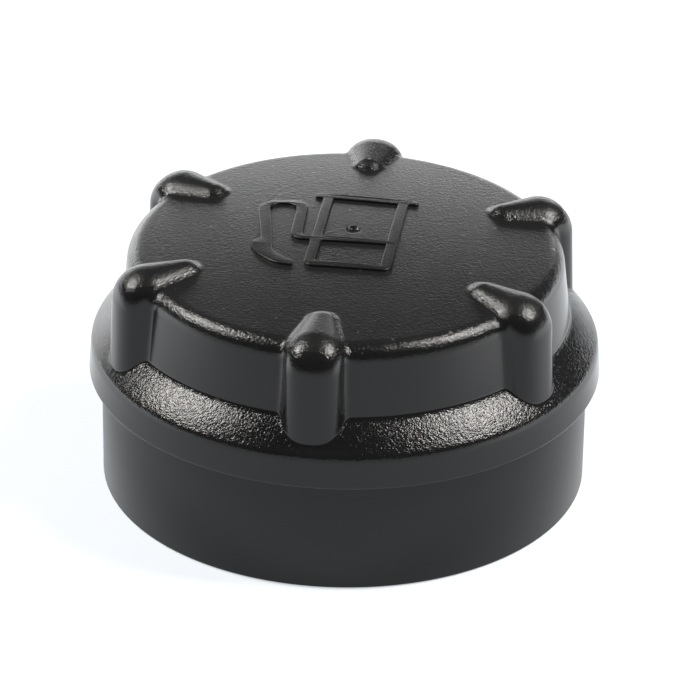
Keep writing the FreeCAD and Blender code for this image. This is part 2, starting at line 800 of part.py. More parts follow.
doc.recompute()
for item in doc.Objects:
    if "Invalid" in item.State or "Error" in item.State:
        raise RuntimeError(f"{item.Label} did not build: {item.State}")
pieces = [
    closure, gasket, cover, ratchet, cap, vent_filter, seal, plate, pressure_spring, poppet, vacuum_seal,
    vacuum_spring, clip,
]
os.makedirs("parts", exist_ok=True)
for piece in pieces:
    shape = piece.Shape
    if shape.isNull() or not shape.isValid() or len(shape.Solids) != 1:
        raise RuntimeError(f"{piece.Label} is not one valid solid")
    shape.exportStep(f"parts/{piece.Label}.step")
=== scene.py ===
import math

import bmesh
import bpy
import numpy as np
from mathutils import Matrix, Vector


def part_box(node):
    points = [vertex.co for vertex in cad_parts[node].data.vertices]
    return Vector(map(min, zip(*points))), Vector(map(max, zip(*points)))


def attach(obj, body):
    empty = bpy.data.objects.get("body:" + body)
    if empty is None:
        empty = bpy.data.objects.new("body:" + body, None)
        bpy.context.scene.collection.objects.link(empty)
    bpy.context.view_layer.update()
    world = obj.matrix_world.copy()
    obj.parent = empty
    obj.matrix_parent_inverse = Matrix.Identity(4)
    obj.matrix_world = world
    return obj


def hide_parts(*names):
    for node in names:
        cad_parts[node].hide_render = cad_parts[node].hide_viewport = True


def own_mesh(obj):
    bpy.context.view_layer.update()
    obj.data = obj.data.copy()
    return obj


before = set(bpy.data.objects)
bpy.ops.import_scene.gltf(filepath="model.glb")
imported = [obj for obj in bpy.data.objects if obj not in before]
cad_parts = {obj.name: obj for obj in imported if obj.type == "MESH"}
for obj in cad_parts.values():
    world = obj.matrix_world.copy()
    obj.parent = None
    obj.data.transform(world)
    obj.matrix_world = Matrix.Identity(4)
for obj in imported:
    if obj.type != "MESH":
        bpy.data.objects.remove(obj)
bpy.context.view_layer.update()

# Threaded closure. Black injection-moulded plastic with a smooth satin skirt, in one moulding with the deck
# and the turret of the vent valve. It screws on the filler neck, and the cap stands on its lower rim.
mm = 0.001


class Socket:
    """An output socket of a finish. Arithmetic on it adds Math nodes."""

    def __init__(self, finish, output):
        self.finish = finish
        self.output = output

    def math(self, operation, first, second):
        return self.finish.node("ShaderNodeMath", {"operation": operation}, {0: first, 1: second})

    def __add__(self, other):
        return self.math("ADD", self, other)

    def __sub__(self, other):
        return self.math("SUBTRACT", self, other)

    def __rsub__(self, other):
        return self.math("SUBTRACT", other, self)

    def __mul__(self, other):
        return self.math("MULTIPLY", self, other)

    __radd__ = __add__
    __rmul__ = __mul__


class Finish:
    """A procedural material: its Principled surface and the nodes that feed it."""

    def __init__(self, name, **constants):
        self.material = bpy.data.materials.new(name)
        self.material.use_nodes = True
        self.tree = self.material.node_tree
        self.surface = next(node for node in self.tree.nodes if node.type == "BSDF_PRINCIPLED")
        self.set(**constants)

    def fill(self, node, inputs):
        for key, value in inputs.items():
            if isinstance(value, Socket):
                self.tree.links.new(value.output, node.inputs[key])
            else:
                node.inputs[key].default_value = value

    def node(self, kind, settings, inputs, output=0):
        made = self.tree.nodes.new(kind)
        for key, value in settings.items():
            setattr(made, key, value)
        self.fill(made, inputs)
        return Socket(self, made.outputs[output])

    def place(self):
        return self.node("ShaderNodeTexCoord", {}, {}, "Object")

    def noise(self, wavelength, detail):
        inputs = {"Vector": self.place(), "Scale": 1 / wavelength, "Detail": detail}
        return self.node("ShaderNodeTexNoise", {}, inputs)

    def band(self, value, low, high):
        """Rises smoothly from 0 to 1 as the value goes from low to high."""
        inputs = {"Value": value, "From Min": low, "From Max": high}
        return self.node("ShaderNodeMapRange", {"interpolation_type": "SMOOTHSTEP"}, inputs)

    def tint(self, amount, first, second):
        inputs = {"Factor": amount, "A": (*first, 1), "B": (*second, 1)}
        return self.node("ShaderNodeMix", {"data_type": "RGBA"}, inputs, "Result")

    def relief(self, height, distance):
        return self.node("ShaderNodeBump", {}, {"Height": height, "Distance": distance})

    def set(self, **inputs):
        self.fill(self.surface, {key.replace("_", " "): value for key, value in inputs.items()})

    def dress(self, *objects):
        for item in objects:
            item.data.materials.clear()
            item.data.materials.append(self.material)


def eased(corners, steps=5):
    """Points of a closed outline. Each corner has a place and a radius that rounds it."""
    nearly_straight = math.radians(89)
    points = []
    for index, (x, y, radius) in enumerate(corners):
        corner = np.array([x, y])
        back = np.array(corners[index - 1][:2]) - corner
        ahead = np.array(corners[(index + 1) % len(corners)][:2]) - corner
        back, ahead = back / np.linalg.norm(back), ahead / np.linalg.norm(ahead)
        half = math.acos(np.clip(back @ ahead, -1, 1)) / 2
        if radius == 0 or half > nearly_straight:
            points.append(corner)
            continue
        middle = (back + ahead) / np.linalg.norm(back + ahead)
        centre = corner + middle * radius / math.sin(half)
        start, end = (corner + way * radius / math.tan(half) - centre for way in (back, ahead))
        sweep = math.atan2(start[0] * end[1] - start[1] * end[0], start @ end)
        for step in range(steps + 1):
            angle = sweep * step / steps
            turn = np.array([[math.cos(angle), -math.sin(angle)], [math.sin(angle), math.cos(angle)]])
            points.append(centre + turn @ start)
    return np.array(points)


def level_ring(radius, height, angles):
    """Points round the cap's axis at one height, with one radius for all or one for each angle."""
    return np.column_stack([radius * np.cos(angles), radius * np.sin(angles), np.full(len(angles), height)])


def turned(section):
    """Rings of a section of radii and heights turned about the cap's axis, one ring for each point."""
    turn_steps = 288
    angles = np.arange(turn_steps) * 2 * math.pi / turn_steps
    return [level_ring(radius, height, angles) for radius, height in section]


class Shell:
    """Vertices and faces gathered from rings and blocks, in millimetres, for one piece."""

    def __init__(self):
        self.points = []
        self.faces = []

    def rings(self, rings, closed=True, capped=False):
        """Skins neighbouring rings. Closed joins the last to the first, capped shuts both ends."""
        count = len(rings[0])
        start = len(self.points)
        for ring in rings:
            self.points.extend(map(tuple, ring))
        pairs = len(rings) if closed else len(rings) - 1
        for row in range(pairs):
            low, high = start + row * count, start + (row + 1) % len(rings) * count
            for column in range(count):
                across = (column + 1) % count
                self.faces.append((low + column, low + across, high + across, high + column))
        if capped:
            self.faces.append(tuple(range(start + count - 1, start - 1, -1)))
            last = start + (len(rings) - 1) * count
            self.faces.append(tuple(range(last, last + count)))

    def block(self, low, high, angle):
        """A bar with eased upright edges, drawn on +Y and turned about the cap's axis."""
        edge = 0.2
        places = (low[:2], (high[0], low[1]), high[:2], (low[0], high[1]))
        plan = eased([(x, y, edge) for x, y in places], steps=2)
        turn = np.array([[math.cos(angle), math.sin(angle)], [-math.sin(angle), math.cos(angle)]])
        rings = [np.column_stack([plan @ turn, np.full(len(plan), height)]) for height in (low[2], high[2])]
        self.rings(rings, closed=False, capped=True)

    def piece(self, name, sharp=35.0):
        mesh = bpy.data.meshes.new(name)
        mesh.from_pydata([Vector(point) * mm for point in self.points], [], self.faces)
        mesh.validate()
        mesh.shade_smooth()
        mesh.set_sharp_from_angle(angle=math.radians(sharp))
        made = bpy.data.objects.new(name, mesh)
        bpy.context.scene.collection.objects.link(made)
        return made


def top_of(node):
    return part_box(node)[1].z / mm


skirt_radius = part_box("threaded_closure")[1].x / mm
deck_bottom = top_of("neck_gasket")
deck_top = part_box("ratchet_ring")[0].z / mm
turret_top = top_of("threaded_closure")
mouth_radius, mouth_rise = 45.25, 0.8
step_out, step_top = 0.35, 22.7
groove_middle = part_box("grip_cover")[0].z / mm + 3.5
groove_radius, floor_half, mouth_half = 46.45, 0.65, 1.22
deck_chamfer = 0.5
turret_radius, turret_bore = 18.2, 16.0
seat_outer, seat_inner, seat_height = 12.4, 11.2, 0.8
port_radius, port_outside, rib_depth = 10.5, 12.5, 1.6
lip_inner, lip_outer, lip_depth = 36.5, 38.3, 2.2
recess_radius = 44.9
thread_root, thread_top = 44.45, 22.4
closure_shell = Shell()
closure_shell.rings(turned(eased([
    (mouth_radius, 0, 0.1),
    (skirt_radius + step_out, 0, 0.5),
    (skirt_radius + step_out, step_top, 0.1),
    (skirt_radius, step_top, 0),
    (skirt_radius, groove_middle - mouth_half, 0),
    (groove_radius, groove_middle - floor_half, 0),
    (groove_radius, groove_middle + floor_half, 0),
    (skirt_radius, groove_middle + mouth_half, 0),
    (skirt_radius, deck_top - deck_chamfer, 0.15),
    (skirt_radius - deck_chamfer, deck_top, 0.15),
    (turret_radius, deck_top, 0.4),
    (turret_radius, turret_top, 0.3),
    (turret_bore, turret_top, 0.3),
    (turret_bore, deck_top, 0.3),
    (seat_outer, deck_top, 0.1),
    (seat_outer, deck_top + seat_height, 0.3),
    (seat_inner, deck_top + seat_height, 0.3),
    (seat_inner, deck_top, 0.1),
    (port_radius, deck_top, 0.2),
    (port_radius, deck_bottom - rib_depth, 0.3),
    (port_outside, deck_bottom - rib_depth, 0.3),
    (port_outside, deck_bottom, 0.4),
    (lip_inner, deck_bottom, 0.4),
    (lip_inner, deck_bottom - lip_depth, 0.3),
    (lip_outer, deck_bottom - lip_depth, 0.3),
    (lip_outer, deck_bottom, 0.1),
    (recess_radius, deck_bottom, 0.1),
    (recess_radius, thread_top, 0.1),
    (thread_root, thread_top, 0.2),
    (thread_root, mouth_rise, 0.1),
])))

# Six ribs stiffen the deck from below, between the port's wall and the gasket's lip. Three keys on the
# turret hold the ratchet ring. Both reach a little into the deck.
into_deck = 0.5
rib_count, rib_half, rib_start, rib_end = 6, 1.0, 11.6, 37.2
for index in range(rib_count):
    rib_low = (-rib_half, rib_start, deck_bottom - rib_depth)
    rib_high = (rib_half, rib_end, deck_bottom + into_deck)
    closure_shell.block(rib_low, rib_high, math.radians(360 / rib_count * index))
key_count, key_half, key_start, key_end, key_height = 3, 2.0, 17.2, 19.8, 6.0
for index in range(key_count):
    key_low = (-key_half, key_start, deck_top - into_deck)
    key_high = (key_half, key_end, deck_top + key_height)
    closure_shell.block(key_low, key_high, math.radians(360 / key_count * index))

# The neck thread is two helical ridges on the bore's wall, half a turn apart. Their feet stand in the wall,
# and their ends run out into it.
thread_pitch, thread_turns, thread_depth, thread_flat = 7.0, 1.15, 1.3, 1.1
thread_start, run_out, ridge_foot, ridge_half, least_flat = 4.2, 12, 0.4, 1.6, 0.05
ridge_steps = 240
for start_angle in (0.0, math.pi):
    ridge = []
    for step in range(ridge_steps + 1):
        share = step / ridge_steps
        angle = start_angle + share * thread_turns * 2 * math.pi
        level = thread_start + share * thread_turns * thread_pitch * 2
        fade = min(1.0, run_out * share, run_out * (1 - share))
        crest, foot = thread_root - thread_depth * fade, thread_root + ridge_foot
        flat_half = thread_flat / 2 * fade + least_flat
        outline = ((foot, -ridge_half), (crest, -flat_half), (crest, flat_half), (foot, ridge_half))
        ridge.append([
            (radius * math.cos(angle), radius * math.sin(angle), level + rise) for radius, rise in outline
        ])
    closure_shell.rings(ridge, closed=False, capped=True)
closure_piece = closure_shell.piece("closure_moulding")

deep_black, soft_black = (0.005, 0.005, 0.0052), (0.0075, 0.0075, 0.0078)
skirt_plastic = Finish("satin_black_plastic", Specular_IOR_Level=0.26)
flow = skirt_plastic.noise(26 * mm, 3)
fine = skirt_plastic.noise(0.5 * mm, 2)
skirt_plastic.set(
    Base_Color=skirt_plastic.tint(flow, deep_black, soft_black),
    Roughness=0.26 + flow * 0.08,
    Normal=skirt_plastic.relief(fine, 0.008 * mm),
)
skirt_plastic.dress(closure_piece)
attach(closure_piece, "closure")
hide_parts("threaded_closure")

# Neck gasket and valve seals. Flat black rubber rings, die-cut. The gasket is pushed into the recess above
# the thread, where the filler neck's rim presses on it. One seal lies under the valve's plate, one on its
# poppet. Their CAD solids are shown, with a dusty rubber finish.
rubber = Finish("gasket_rubber", Specular_IOR_Level=0.35)
rubber_mottle = rubber.noise(3 * mm, 4)
rubber_pores = rubber.noise(0.35 * mm, 2)
rubber.set(
    Base_Color=rubber.tint(rubber_mottle, (0.012, 0.012, 0.012), (0.03, 0.029, 0.028)),
    Roughness=0.62 + rubber_mottle * 0.2,
    Normal=rubber.relief(rubber_pores, 0.02 * mm),
)
rubber.dress(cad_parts["neck_gasket"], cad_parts["pressure_seal"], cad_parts["vacuum_seal"])

# Vent valve and ratchet ring. Natural-white acetal mouldings, smooth and slightly waxy: the ratchet ring
# with its spring arms round the turret, and the valve's plate and poppet inside, below the pressed-in lid.
acetal_nodes = ("ratchet_ring", "valve_cap", "pressure_plate", "vacuum_poppet")
acetal = Finish("natural_acetal", Specular_IOR_Level=0.45)
acetal_cloud = acetal.noise(9 * mm, 3)
acetal_skin = acetal.noise(0.6 * mm, 2)
acetal.set(
    Base_Color=acetal.tint(acetal_cloud, (0.66, 0.64, 0.58), (0.74, 0.72, 0.67)),
    Roughness=0.34 + acetal_cloud * 0.12,
    Normal=acetal.relief(acetal_skin, 0.006 * mm),
)
acetal.dress(*(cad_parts[name] for name in acetal_nodes))

# Vent filter. Ring of open-cell grey foam, punched from a sheet. It is laid between the lid's two rims over
# the vent holes and keeps dust out of the valve.
foam = Finish("filter_foam", Specular_IOR_Level=0.2)
cell_inputs = {"Vector": foam.place(), "Scale": 1 / (0.9 * mm)}
cells = foam.node("ShaderNodeTexVoronoi", {}, cell_inputs, "Distance")
foam.set(
    Base_Color=foam.tint(cells, (0.02, 0.02, 0.022), (0.13, 0.13, 0.14)),
    Roughness=0.95 - cells * 0.1,
    Normal=foam.relief(cells, 0.4 * mm),
)
foam.dress(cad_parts["vent_filter"])

# Springs and clip. Spring steel, faintly mottled: the springs are wound cold from drawn wire, and the clip
# is stamped. Each spring is shown by a copy of its CAD solid.
steel = Finish("spring_steel", Metallic=1.0)
drawn = steel.noise(0.25 * mm, 3)
steel.set(
    Base_Color=steel.tint(drawn, (0.42, 0.42, 0.43), (0.58, 0.58, 0.59)),
    Roughness=0.26 + drawn * 0.16,
    Normal=steel.relief(drawn, 0.004 * mm),
)
steel.dress(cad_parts["vacuum_clip"])
for node, body, joint, fixed_end, travel in (
    ("pressure_spring", "closure", "pressure_lift", 38.0, 2.0),
    ("vacuum_spring", "pressure_valve", "vacuum_drop", 32.4, 1.5),
):
    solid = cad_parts[node]
    coil = bpy.data.objects.new(node + "_coil", solid.data.copy())
    bpy.context.scene.collection.objects.link(coil)
    coil.matrix_world = solid.matrix_world
    steel.dress(coil)
    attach(coil, body)
    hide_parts(node)
    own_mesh(coil)

# Grip cover. One black plastic moulding: rim, sloped flange and knob with six finger lugs, all blended by
# fillets. Faces that look up are spark-grained, upright walls are smooth. It snaps over the closure and
# turns on it. Its skin is half a sector of points laid on a distance field, mirrored and repeated.
LUGS = 6
HALF_SECTOR = math.pi / LUGS
rim_draft, rim_height = 0.4, 6.2
slope_run, slope_rise, slope_bulge = 5.8, 5.3, 0.25
wall_draft, wall_height = 1.7, 14.2
crown_rise, crown_wall = 2.15, 2.5
shoulder_radius, shoulder_inset = 6.9, 2.5
cover_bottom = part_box("grip_cover")[0].z / mm
crest_level = top_of("grip_cover")
flange_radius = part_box("grip_cover")[1].x / mm
rim_top = (flange_radius - rim_draft, cover_bottom + rim_height)
knob_foot = (rim_top[0] - slope_run, rim_top[1] + slope_rise)
knob_top = (knob_foot[0] - wall_draft, knob_foot[1] + wall_height)
crown_top = knob_top[1] + crown_rise
crown_radius = (knob_top[0] ** 2 + crown_rise ** 2) / (2 * crown_rise)
shoulder_centre = (flange_radius - shoulder_inset - shoulder_radius, crest_level - shoulder_radius)
cavity_edge, cavity_foot, cavity_top = (45.6, 28.6), (41.5, 33.45), (39.8, 45.9)


def outside_line(radius, height, start, end):
    """Distance outwards from the cone through two points of the section, listed from below."""
    across, up = end[0] - start[0], end[1] - start[1]
    return ((radius - start[0]) * up - (height - start[1]) * across) / math.hypot(across, up)


def joined(first, second, fillet):
    """Two solids as one, with a fillet along the corner between them."""
    reach = np.hypot(np.maximum(fillet - first, 0), np.maximum(fillet - second, 0))
    return np.maximum(fillet, np.minimum(first, second)) - reach


def trimmed(first, second, edge):
    """What two solids share, with a rounded edge."""
    reach = np.hypot(np.maximum(edge + first, 0), np.maximum(edge + second, 0))
    return np.minimum(-edge, np.maximum(first, second)) + reach


def crown_distance(radius, height, drop=0.0):
    """Distance outwards from the crown's dome, or from the same dome moved inwards."""
    return np.hypot(radius, height - crown_top + crown_radius) - crown_radius + drop


def gradient(distance, points):
    """Slopes of a distance along x, y and z."""
    step = 0.01
    slopes = [
        (distance(points + shift) - distance(points - shift)) / (2 * step)
        for shift in np.eye(3) * step
    ]
    return np.stack(slopes, axis=-1)


def ramp(value, low, high):
    """Rises smoothly from 0 to 1 as the value goes from low to high."""
    share = np.clip((value - low) / (high - low), 0, 1)
    return share * share * (3 - 2 * share)


def lug_distance(x, y, z):
    """A lug on +Y: a rounded drafted column, a shoulder over the knob's edge and a domed, blunt ridge."""
    column_half, ridge_half, nose_half = 5.6, 6.6, 3.5
    ridge_length, ridge_fall, draft = 7.3, 0.1, 0.04
    column_squareness, ridge_squareness = 2.5, 2
    dome_start, dome_end = math.radians(20), math.radians(90)
    out, above = y - shoulder_centre[0], z - shoulder_centre[1]
    climb = np.arctan2(np.maximum(above, 0), np.maximum(out, 0) + 1e-6)
    domed = ramp(climb, dome_start, dome_end)
    squareness = column_squareness - (column_squareness - ridge_squareness) * domed
    half_width = column_half + (ridge_half - column_half) * domed
    spine = shoulder_radius - half_width
    taper = np.clip(-out / ridge_length, 0, 1)
    width = half_width - (half_width - nose_half) * taper + draft * np.maximum(-above, 0)
    shoulder = np.hypot(np.maximum(out, 0), np.maximum(above, 0)) - spine
    ridge = above - spine - (half_width - nose_half - ridge_fall) * taper
    depth = np.where(out < 0, ridge, np.where(above < 0, out - spine, shoulder))
    nose = np.maximum(-out - ridge_length, 0)
    spread = np.abs(x) ** squareness + np.maximum(depth, 0) ** squareness + nose ** squareness
    return spread ** (1 / squareness) - width


def cover_distance(points):
    """The cover's outside: rim and bulged slope, the knob with its crown, and the lug on +Y."""
    rim_edge, knob_edge, flange_over, foot_fillet = 0.5, 2.8, 1.3, 0.4
    wall_fillet, top_fillet, fillet_change = 1.3, 0.8, 3
    x, y, z = points[..., 0], points[..., 1], points[..., 2]
    radius = np.hypot(x, y)
    rim = outside_line(radius, z, (flange_radius, cover_bottom), rim_top)
    along_slope = np.clip((rim_top[0] - radius) / (rim_top[0] - knob_foot[0]), 0, 1)
    bulge = 4 * slope_bulge * along_slope * (1 - along_slope)
    slope = outside_line(radius, z, rim_top, knob_foot) - bulge
    flange = np.maximum(trimmed(rim, slope, rim_edge), z - knob_foot[1] - flange_over)
    wall = outside_line(radius, z, knob_foot, knob_top)
    knob = trimmed(wall, crown_distance(radius, z), knob_edge)
    near_top = ramp(z, knob_top[1] - fillet_change, knob_top[1])
    lug_fillet = wall_fillet - (wall_fillet - top_fillet) * near_top
    return joined(flange, joined(knob, lug_distance(x, y, z), lug_fillet), foot_fillet)


def cavity_distance(points):
    """The air inside: an even wall below the outside, with a slot that hollows each lug."""
    foot_top, room_edge, inner_fillet = 34.2, 0.8, 0.3
    slot_half, slot_reach, slot_top, slot_edge = 2.5, 42.4, 45.3, 0.4
    x, y, z = points[..., 0], points[..., 1], points[..., 2]
    radius = np.hypot(x, y)
    slope = outside_line(radius, z, cavity_edge, cavity_foot)
    wall = outside_line(radius, z, cavity_foot, cavity_top)
    room = trimmed(wall, crown_distance(radius, z, crown_wall), room_edge)
    foot = np.maximum(slope, z - foot_top)
    past_end = np.maximum(y - slot_reach, 0)
    slot = trimmed(np.hypot(x, past_end) - slot_half, z - slot_top, slot_edge)
    return joined(joined(foot, room, inner_fillet), slot, inner_fillet)


def settled(grid, distance, rows, rounds):
    """Lays the chosen rows of a half-sector grid on a surface and evens out their spacing."""
    closing_rounds, pull = 4, 0.5
    across, along_axis = math.sin(2 * HALF_SECTOR), math.cos(2 * HALF_SECTOR)
    mirror = np.array([[-along_axis, across], [across, along_axis]])
    first, last = rows
    for round_index in range(rounds + closing_rounds):
        part = grid[first:last]
        for _ in range(2):
            slopes = gradient(distance, part)
            part = part - slopes * (distance(part) / (slopes ** 2).sum(-1))[..., None]
        grid[first:last] = part
        if round_index >= rounds:
            continue
        left = grid[:, 1:2] * np.array([-1, 1, 1])
        right = grid[:, -2:-1].copy()
        right[..., :2] = right[..., :2] @ mirror
        wide = np.concatenate([left, grid, right], axis=1)
        middle = (wide[:, :-2] + wide[:, 2:]) / 2
        along = (grid[:-2] + grid[2:]) / 2
        shift = np.zeros_like(grid)
        shift[1:-1] = (middle[1:-1] + along) / 2 - grid[1:-1]
        part_shift = shift[first:last]
        slopes = gradient(distance, grid[first:last])
        normal = slopes / np.linalg.norm(slopes, axis=-1, keepdims=True)
        part_shift -= normal * (part_shift * normal).sum(-1, keepdims=True)
        grid[first + 1:last - 1] += pull * part_shift[1:-1]
    return grid


def all_round(row):
    """A full ring of points from one row of a half-sector, mirrored and repeated for every lug."""
    mirrored = row[-2:0:-1] * np.array([-1, 1, 1])
    sector = np.concatenate([mirrored, row])[::-1]
    ring = []
    for index in range(LUGS):
        angle = 2 * HALF_SECTOR * index
        cosine, sine = math.cos(angle), math.sin(angle)
        turn = np.array([[cosine, -sine, 0], [sine, cosine, 0], [0, 0, 1]])
        ring.append(sector @ turn.T)
    return np.concatenate(ring)


def spaced(start, end, count):
    """Points on the way from start to end, without the end."""
    way = np.array(end) - np.array(start)
    return [tuple(np.array(start) + way * step / count) for step in range(count)]


def crown_point(radius, drop=0.0):
    """Radius and height of a point on the crown's dome, or on the same dome moved inwards."""
    return radius, crown_top - crown_radius + math.sqrt((crown_radius - drop) ** 2 - radius ** 2)


def crown_level(x, y):
    """Height of the crown's dome above a place in plan."""
    return crown_top - crown_radius + np.sqrt(crown_radius ** 2 - x * x - y * y)


lug_reach, lug_step, sparse_count, sparse_growth = 10.6, 0.36, 12, 1.25
dense = np.radians(np.arange(0, lug_reach, lug_step))
sparse = dense[-1] + (HALF_SECTOR - dense[-1]) * np.linspace(0, 1, sparse_count)[1:] ** sparse_growth
columns = np.concatenate([dense, sparse])


def swept(section):
    """A half-sector grid with one row for each point of a section."""
    return np.array([
        [(radius * math.sin(angle), radius * math.cos(angle), height) for angle in columns]
        for radius, height in section
    ])


# The outside, from the rim's lower edge up to the crown. The first rows, round that edge, stay in place.
edge_rows = 4
crown_outer, crown_inner = knob_top[0] - 2.4, 28.5
rim_rows = [
    (flange_radius - 0.28, cover_bottom),
    (flange_radius - 0.1, cover_bottom + 0.08),
    (flange_radius - 0.02, cover_bottom + 0.28),
    *spaced((flange_radius - 0.04, cover_bottom + 0.6), rim_top, 5),
]
upper_rows = [
    *spaced(rim_top, knob_foot, 22),
    *spaced(knob_foot, (knob_top[0], knob_top[1] - 1.2), 30),
    *spaced((knob_top[0] - 0.4, knob_top[1] - 0.6), crown_point(crown_outer), 6),
    *[crown_point(radius) for radius in np.linspace(crown_outer, crown_inner, 34)],
]
outer_grid = swept(rim_rows + upper_rows)
outer_grid = settled(outer_grid, cover_distance, (edge_rows, len(outer_grid)), rounds=40)
outer_rings = [all_round(row) for row in outer_grid]

# The inside: the bore with the bead that snaps into the closure's groove, the ledge over it and the cavity.
snap_bore, snap_bead = 47.5, 46.8
ledge_rows = [
    (snap_bore, cover_bottom),
    (snap_bore, cover_bottom + 2.8),
    (snap_bead, cover_bottom + 3.2),
    (snap_bead, cover_bottom + 3.8),
    (snap_bore, cover_bottom + 4.2),
    (snap_bore, cavity_edge[1]),
    cavity_edge,
]
inner_rows = [
    *spaced(cavity_edge, cavity_foot, 8)[1:],
    *spaced(cavity_foot, (cavity_top[0], cavity_top[1] - 0.5), 16),
    *[crown_point(radius, crown_wall) for radius in np.linspace(39.4, 36.4, 8)],
]
inner_grid = swept(ledge_rows + inner_rows)
inner_grid = settled(inner_grid, cavity_distance, (len(ledge_rows), len(inner_grid)), rounds=25)
inner_rings = [all_round(row) for row in inner_grid]

# The crown closes round the gate mark, a shallow round dimple beside the axis, with the ceiling below it.
gate_mark = np.array([1.05, 2.7])
gate_depth, gate_floor, gate_edge, gate_surround = 0.5, 1.0, 1.55, 2.2
gate_radii = (1.8, 1.6, 1.5, 1.4, 1.25, 1.1, 0.9, 0.7, 0.5, 0.4, 0.3, 0.2, 0.1)
round_angles = np.arctan2(outer_rings[-1][:, 1], outer_rings[-1][:, 0])
top_rings = []
for radius in (*np.linspace(crown_inner, gate_surround, 14)[1:], *gate_radii):
    shift = gate_mark * (1 - radius / crown_inner)
    x = shift[0] + radius * np.cos(round_angles)
    y = shift[1] + radius * np.sin(round_angles)
    sunk = gate_depth * (1 - ramp(radius, gate_floor, gate_edge))
    top_rings.append(np.column_stack([x, y, crown_level(x, y) - sunk]))
ceiling_angles = np.arctan2(inner_rings[-1][:, 1], inner_rings[-1][:, 0])
ceiling_rings = [level_ring(*crown_point(reach, crown_wall), ceiling_angles) for reach in (28.0, 14.0, 0.2)]
cover_shell = Shell()
cover_rings = ceiling_rings[::-1] + inner_rings[::-1] + outer_rings + top_rings
cover_shell.rings(cover_rings, closed=False, capped=True)

# The ring of ratchet teeth hangs from the ceiling. Each tooth slopes inwards and ends in a steep flank.
tooth_count, tooth_slope, tooth_outer, tooth_depth = 24, 0.96, 34.6, 1.6
ring_radius, ring_bottom, ring_top = 36.6, deck_top + 2.0, knob_top[1] - 1.25
tooth_angles, tooth_radii = [], []
for index in range(tooth_count):
    for share in np.linspace(0, 1, 9):
        tooth_angles.append(math.radians(360 / tooth_count * (index + tooth_slope * share)))
        tooth_radii.append(tooth_outer - tooth_depth * share)
tooth_angles, tooth_radii = np.array(tooth_angles), np.array(tooth_radii)
cover_shell.rings([
    level_ring(tooth_radii, ring_bottom, tooth_angles),
    level_ring(ring_radius, ring_bottom, tooth_angles),
    level_ring(ring_radius, ring_top, tooth_angles),
    level_ring(tooth_radii, ring_top, tooth_angles),
])
cover_piece = cover_shell.piece("cover_moulding", sharp=50.0)

# How far each point looks up steers the grain. The lugs' domed tops count as nearly flat, so they are calm.
nearly_flat = 0.97
normals = np.zeros(len(cover_piece.data.vertices) * 3, np.float32)
cover_piece.data.vertex_normals.foreach_get("vector", normals)
upward = normals.reshape(-1, 3)[:, 2].copy()
cover_points = np.array(cover_shell.points)
above_crown = crown_distance(np.hypot(cover_points[:, 0], cover_points[:, 1]), cover_points[:, 2])
calm = ramp(above_crown, 0.3, 1.0) * ramp(upward, 0.45, 0.8)
upward += (nearly_flat - upward) * calm
grain_mask = cover_piece.data.attributes.new("upward", "FLOAT", "POINT")
grain_mask.data.foreach_set("value", upward)

cover_plastic = Finish("grained_black_plastic", Specular_IOR_Level=0.3)
upward_share = cover_plastic.node("ShaderNodeAttribute", {"attribute_name": "upward"}, {}, "Fac")
looks_up = cover_plastic.band(upward_share, 0.2, 0.6)
flat_top = cover_plastic.band(upward_share, 0.86, 0.98)
wrinkle = cover_plastic.noise(0.7 * mm, 2)
pits = cover_plastic.noise(0.3 * mm, 1)
smooth_skin = cover_plastic.noise(0.5 * mm, 2)
shade_drift = cover_plastic.noise(18 * mm, 3)
specks = cover_plastic.band(cover_plastic.noise(1.3 * mm, 0), 0.83, 0.85) * looks_up
grain = looks_up * (wrinkle * 0.7 + pits * 0.5) * (1 - flat_top * 0.32)
grain_height = grain + (1 - looks_up) * smooth_skin * 0.06
cover_tone = cover_plastic.tint(shade_drift, deep_black, soft_black)
dust_inputs = {"Factor": specks * 0.3, "A": cover_tone, "B": (0.2, 0.2, 0.2, 1)}
dusty = cover_plastic.node("ShaderNodeMix", {"data_type": "RGBA"}, dust_inputs, "Result")
cover_plastic.set(
    Base_Color=dusty,
    Roughness=0.15 + flat_top * 0.14 + shade_drift * 0.05,
    Normal=cover_plastic.relief(grain_height, 0.155 * mm),
)
cover_plastic.dress(cover_piece)
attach(cover_piece, "cover")
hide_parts("grip_cover")

# Pump sign. Raised flat-topped strokes on the crown, part of the cover's own moulding: a plain fuel pump
# with its hose and nozzle. The strokes have slightly rounded edges and are smoother than the grain around.
SIGN_RISE = 0.45
SIGN_EDGE = 0.2
sign_step = 1.2
sign_outline = [
    (-8.3, 15.2, 0.7), (-8.3, 17.1, 0.7), (12.2, 16.6, 0.7), (12.2, 15.0, 0.7), (10.2, 15.0, 0.3),
    (10.4, -13.5, 1.8), (-6.5, -13.7, 1.8), (-6.5, -3.4, 0.4), (-10.6, -3.3, 2.6), (-11.2, 11.7, 2.3),
    (-16.7, 11.7, 2.3), (-14.1, -3.2, 4.0), (-13.2, -9.0, 5.0), (-8.6, -12.5, 0.2), (-8.5, -13.9, 0.2),
    (-12.2, -13.4, 6.0), (-16.2, -9.9, 6.0), (-17.9, -5.7, 0.3), (-16.1, -3.5, 1.5), (-19.3, 12.7, 3.6),
    (-9.1, 13.3, 3.0), (-8.4, -2.2, 1.5), (-6.4, -2.2, 0.4), (-6.6, 15.2, 0.3),
]
upper_window = [(-4.6, 15.1, 0.2), (8.2, 14.8, 0.2), (8.2, -1.7, 0.2), (-4.4, -1.6, 0.5)]
lower_window = [(-4.4, -3.4, 0.5), (8.2, -3.1, 0.2), (8.2, -12.0, 0.3), (-4.4, -11.8, 0.3)]
sign_curve = bpy.data.curves.new("pump_sign_outline", "CURVE")
sign_curve.dimensions = "2D"
sign_curve.fill_mode = "BOTH"
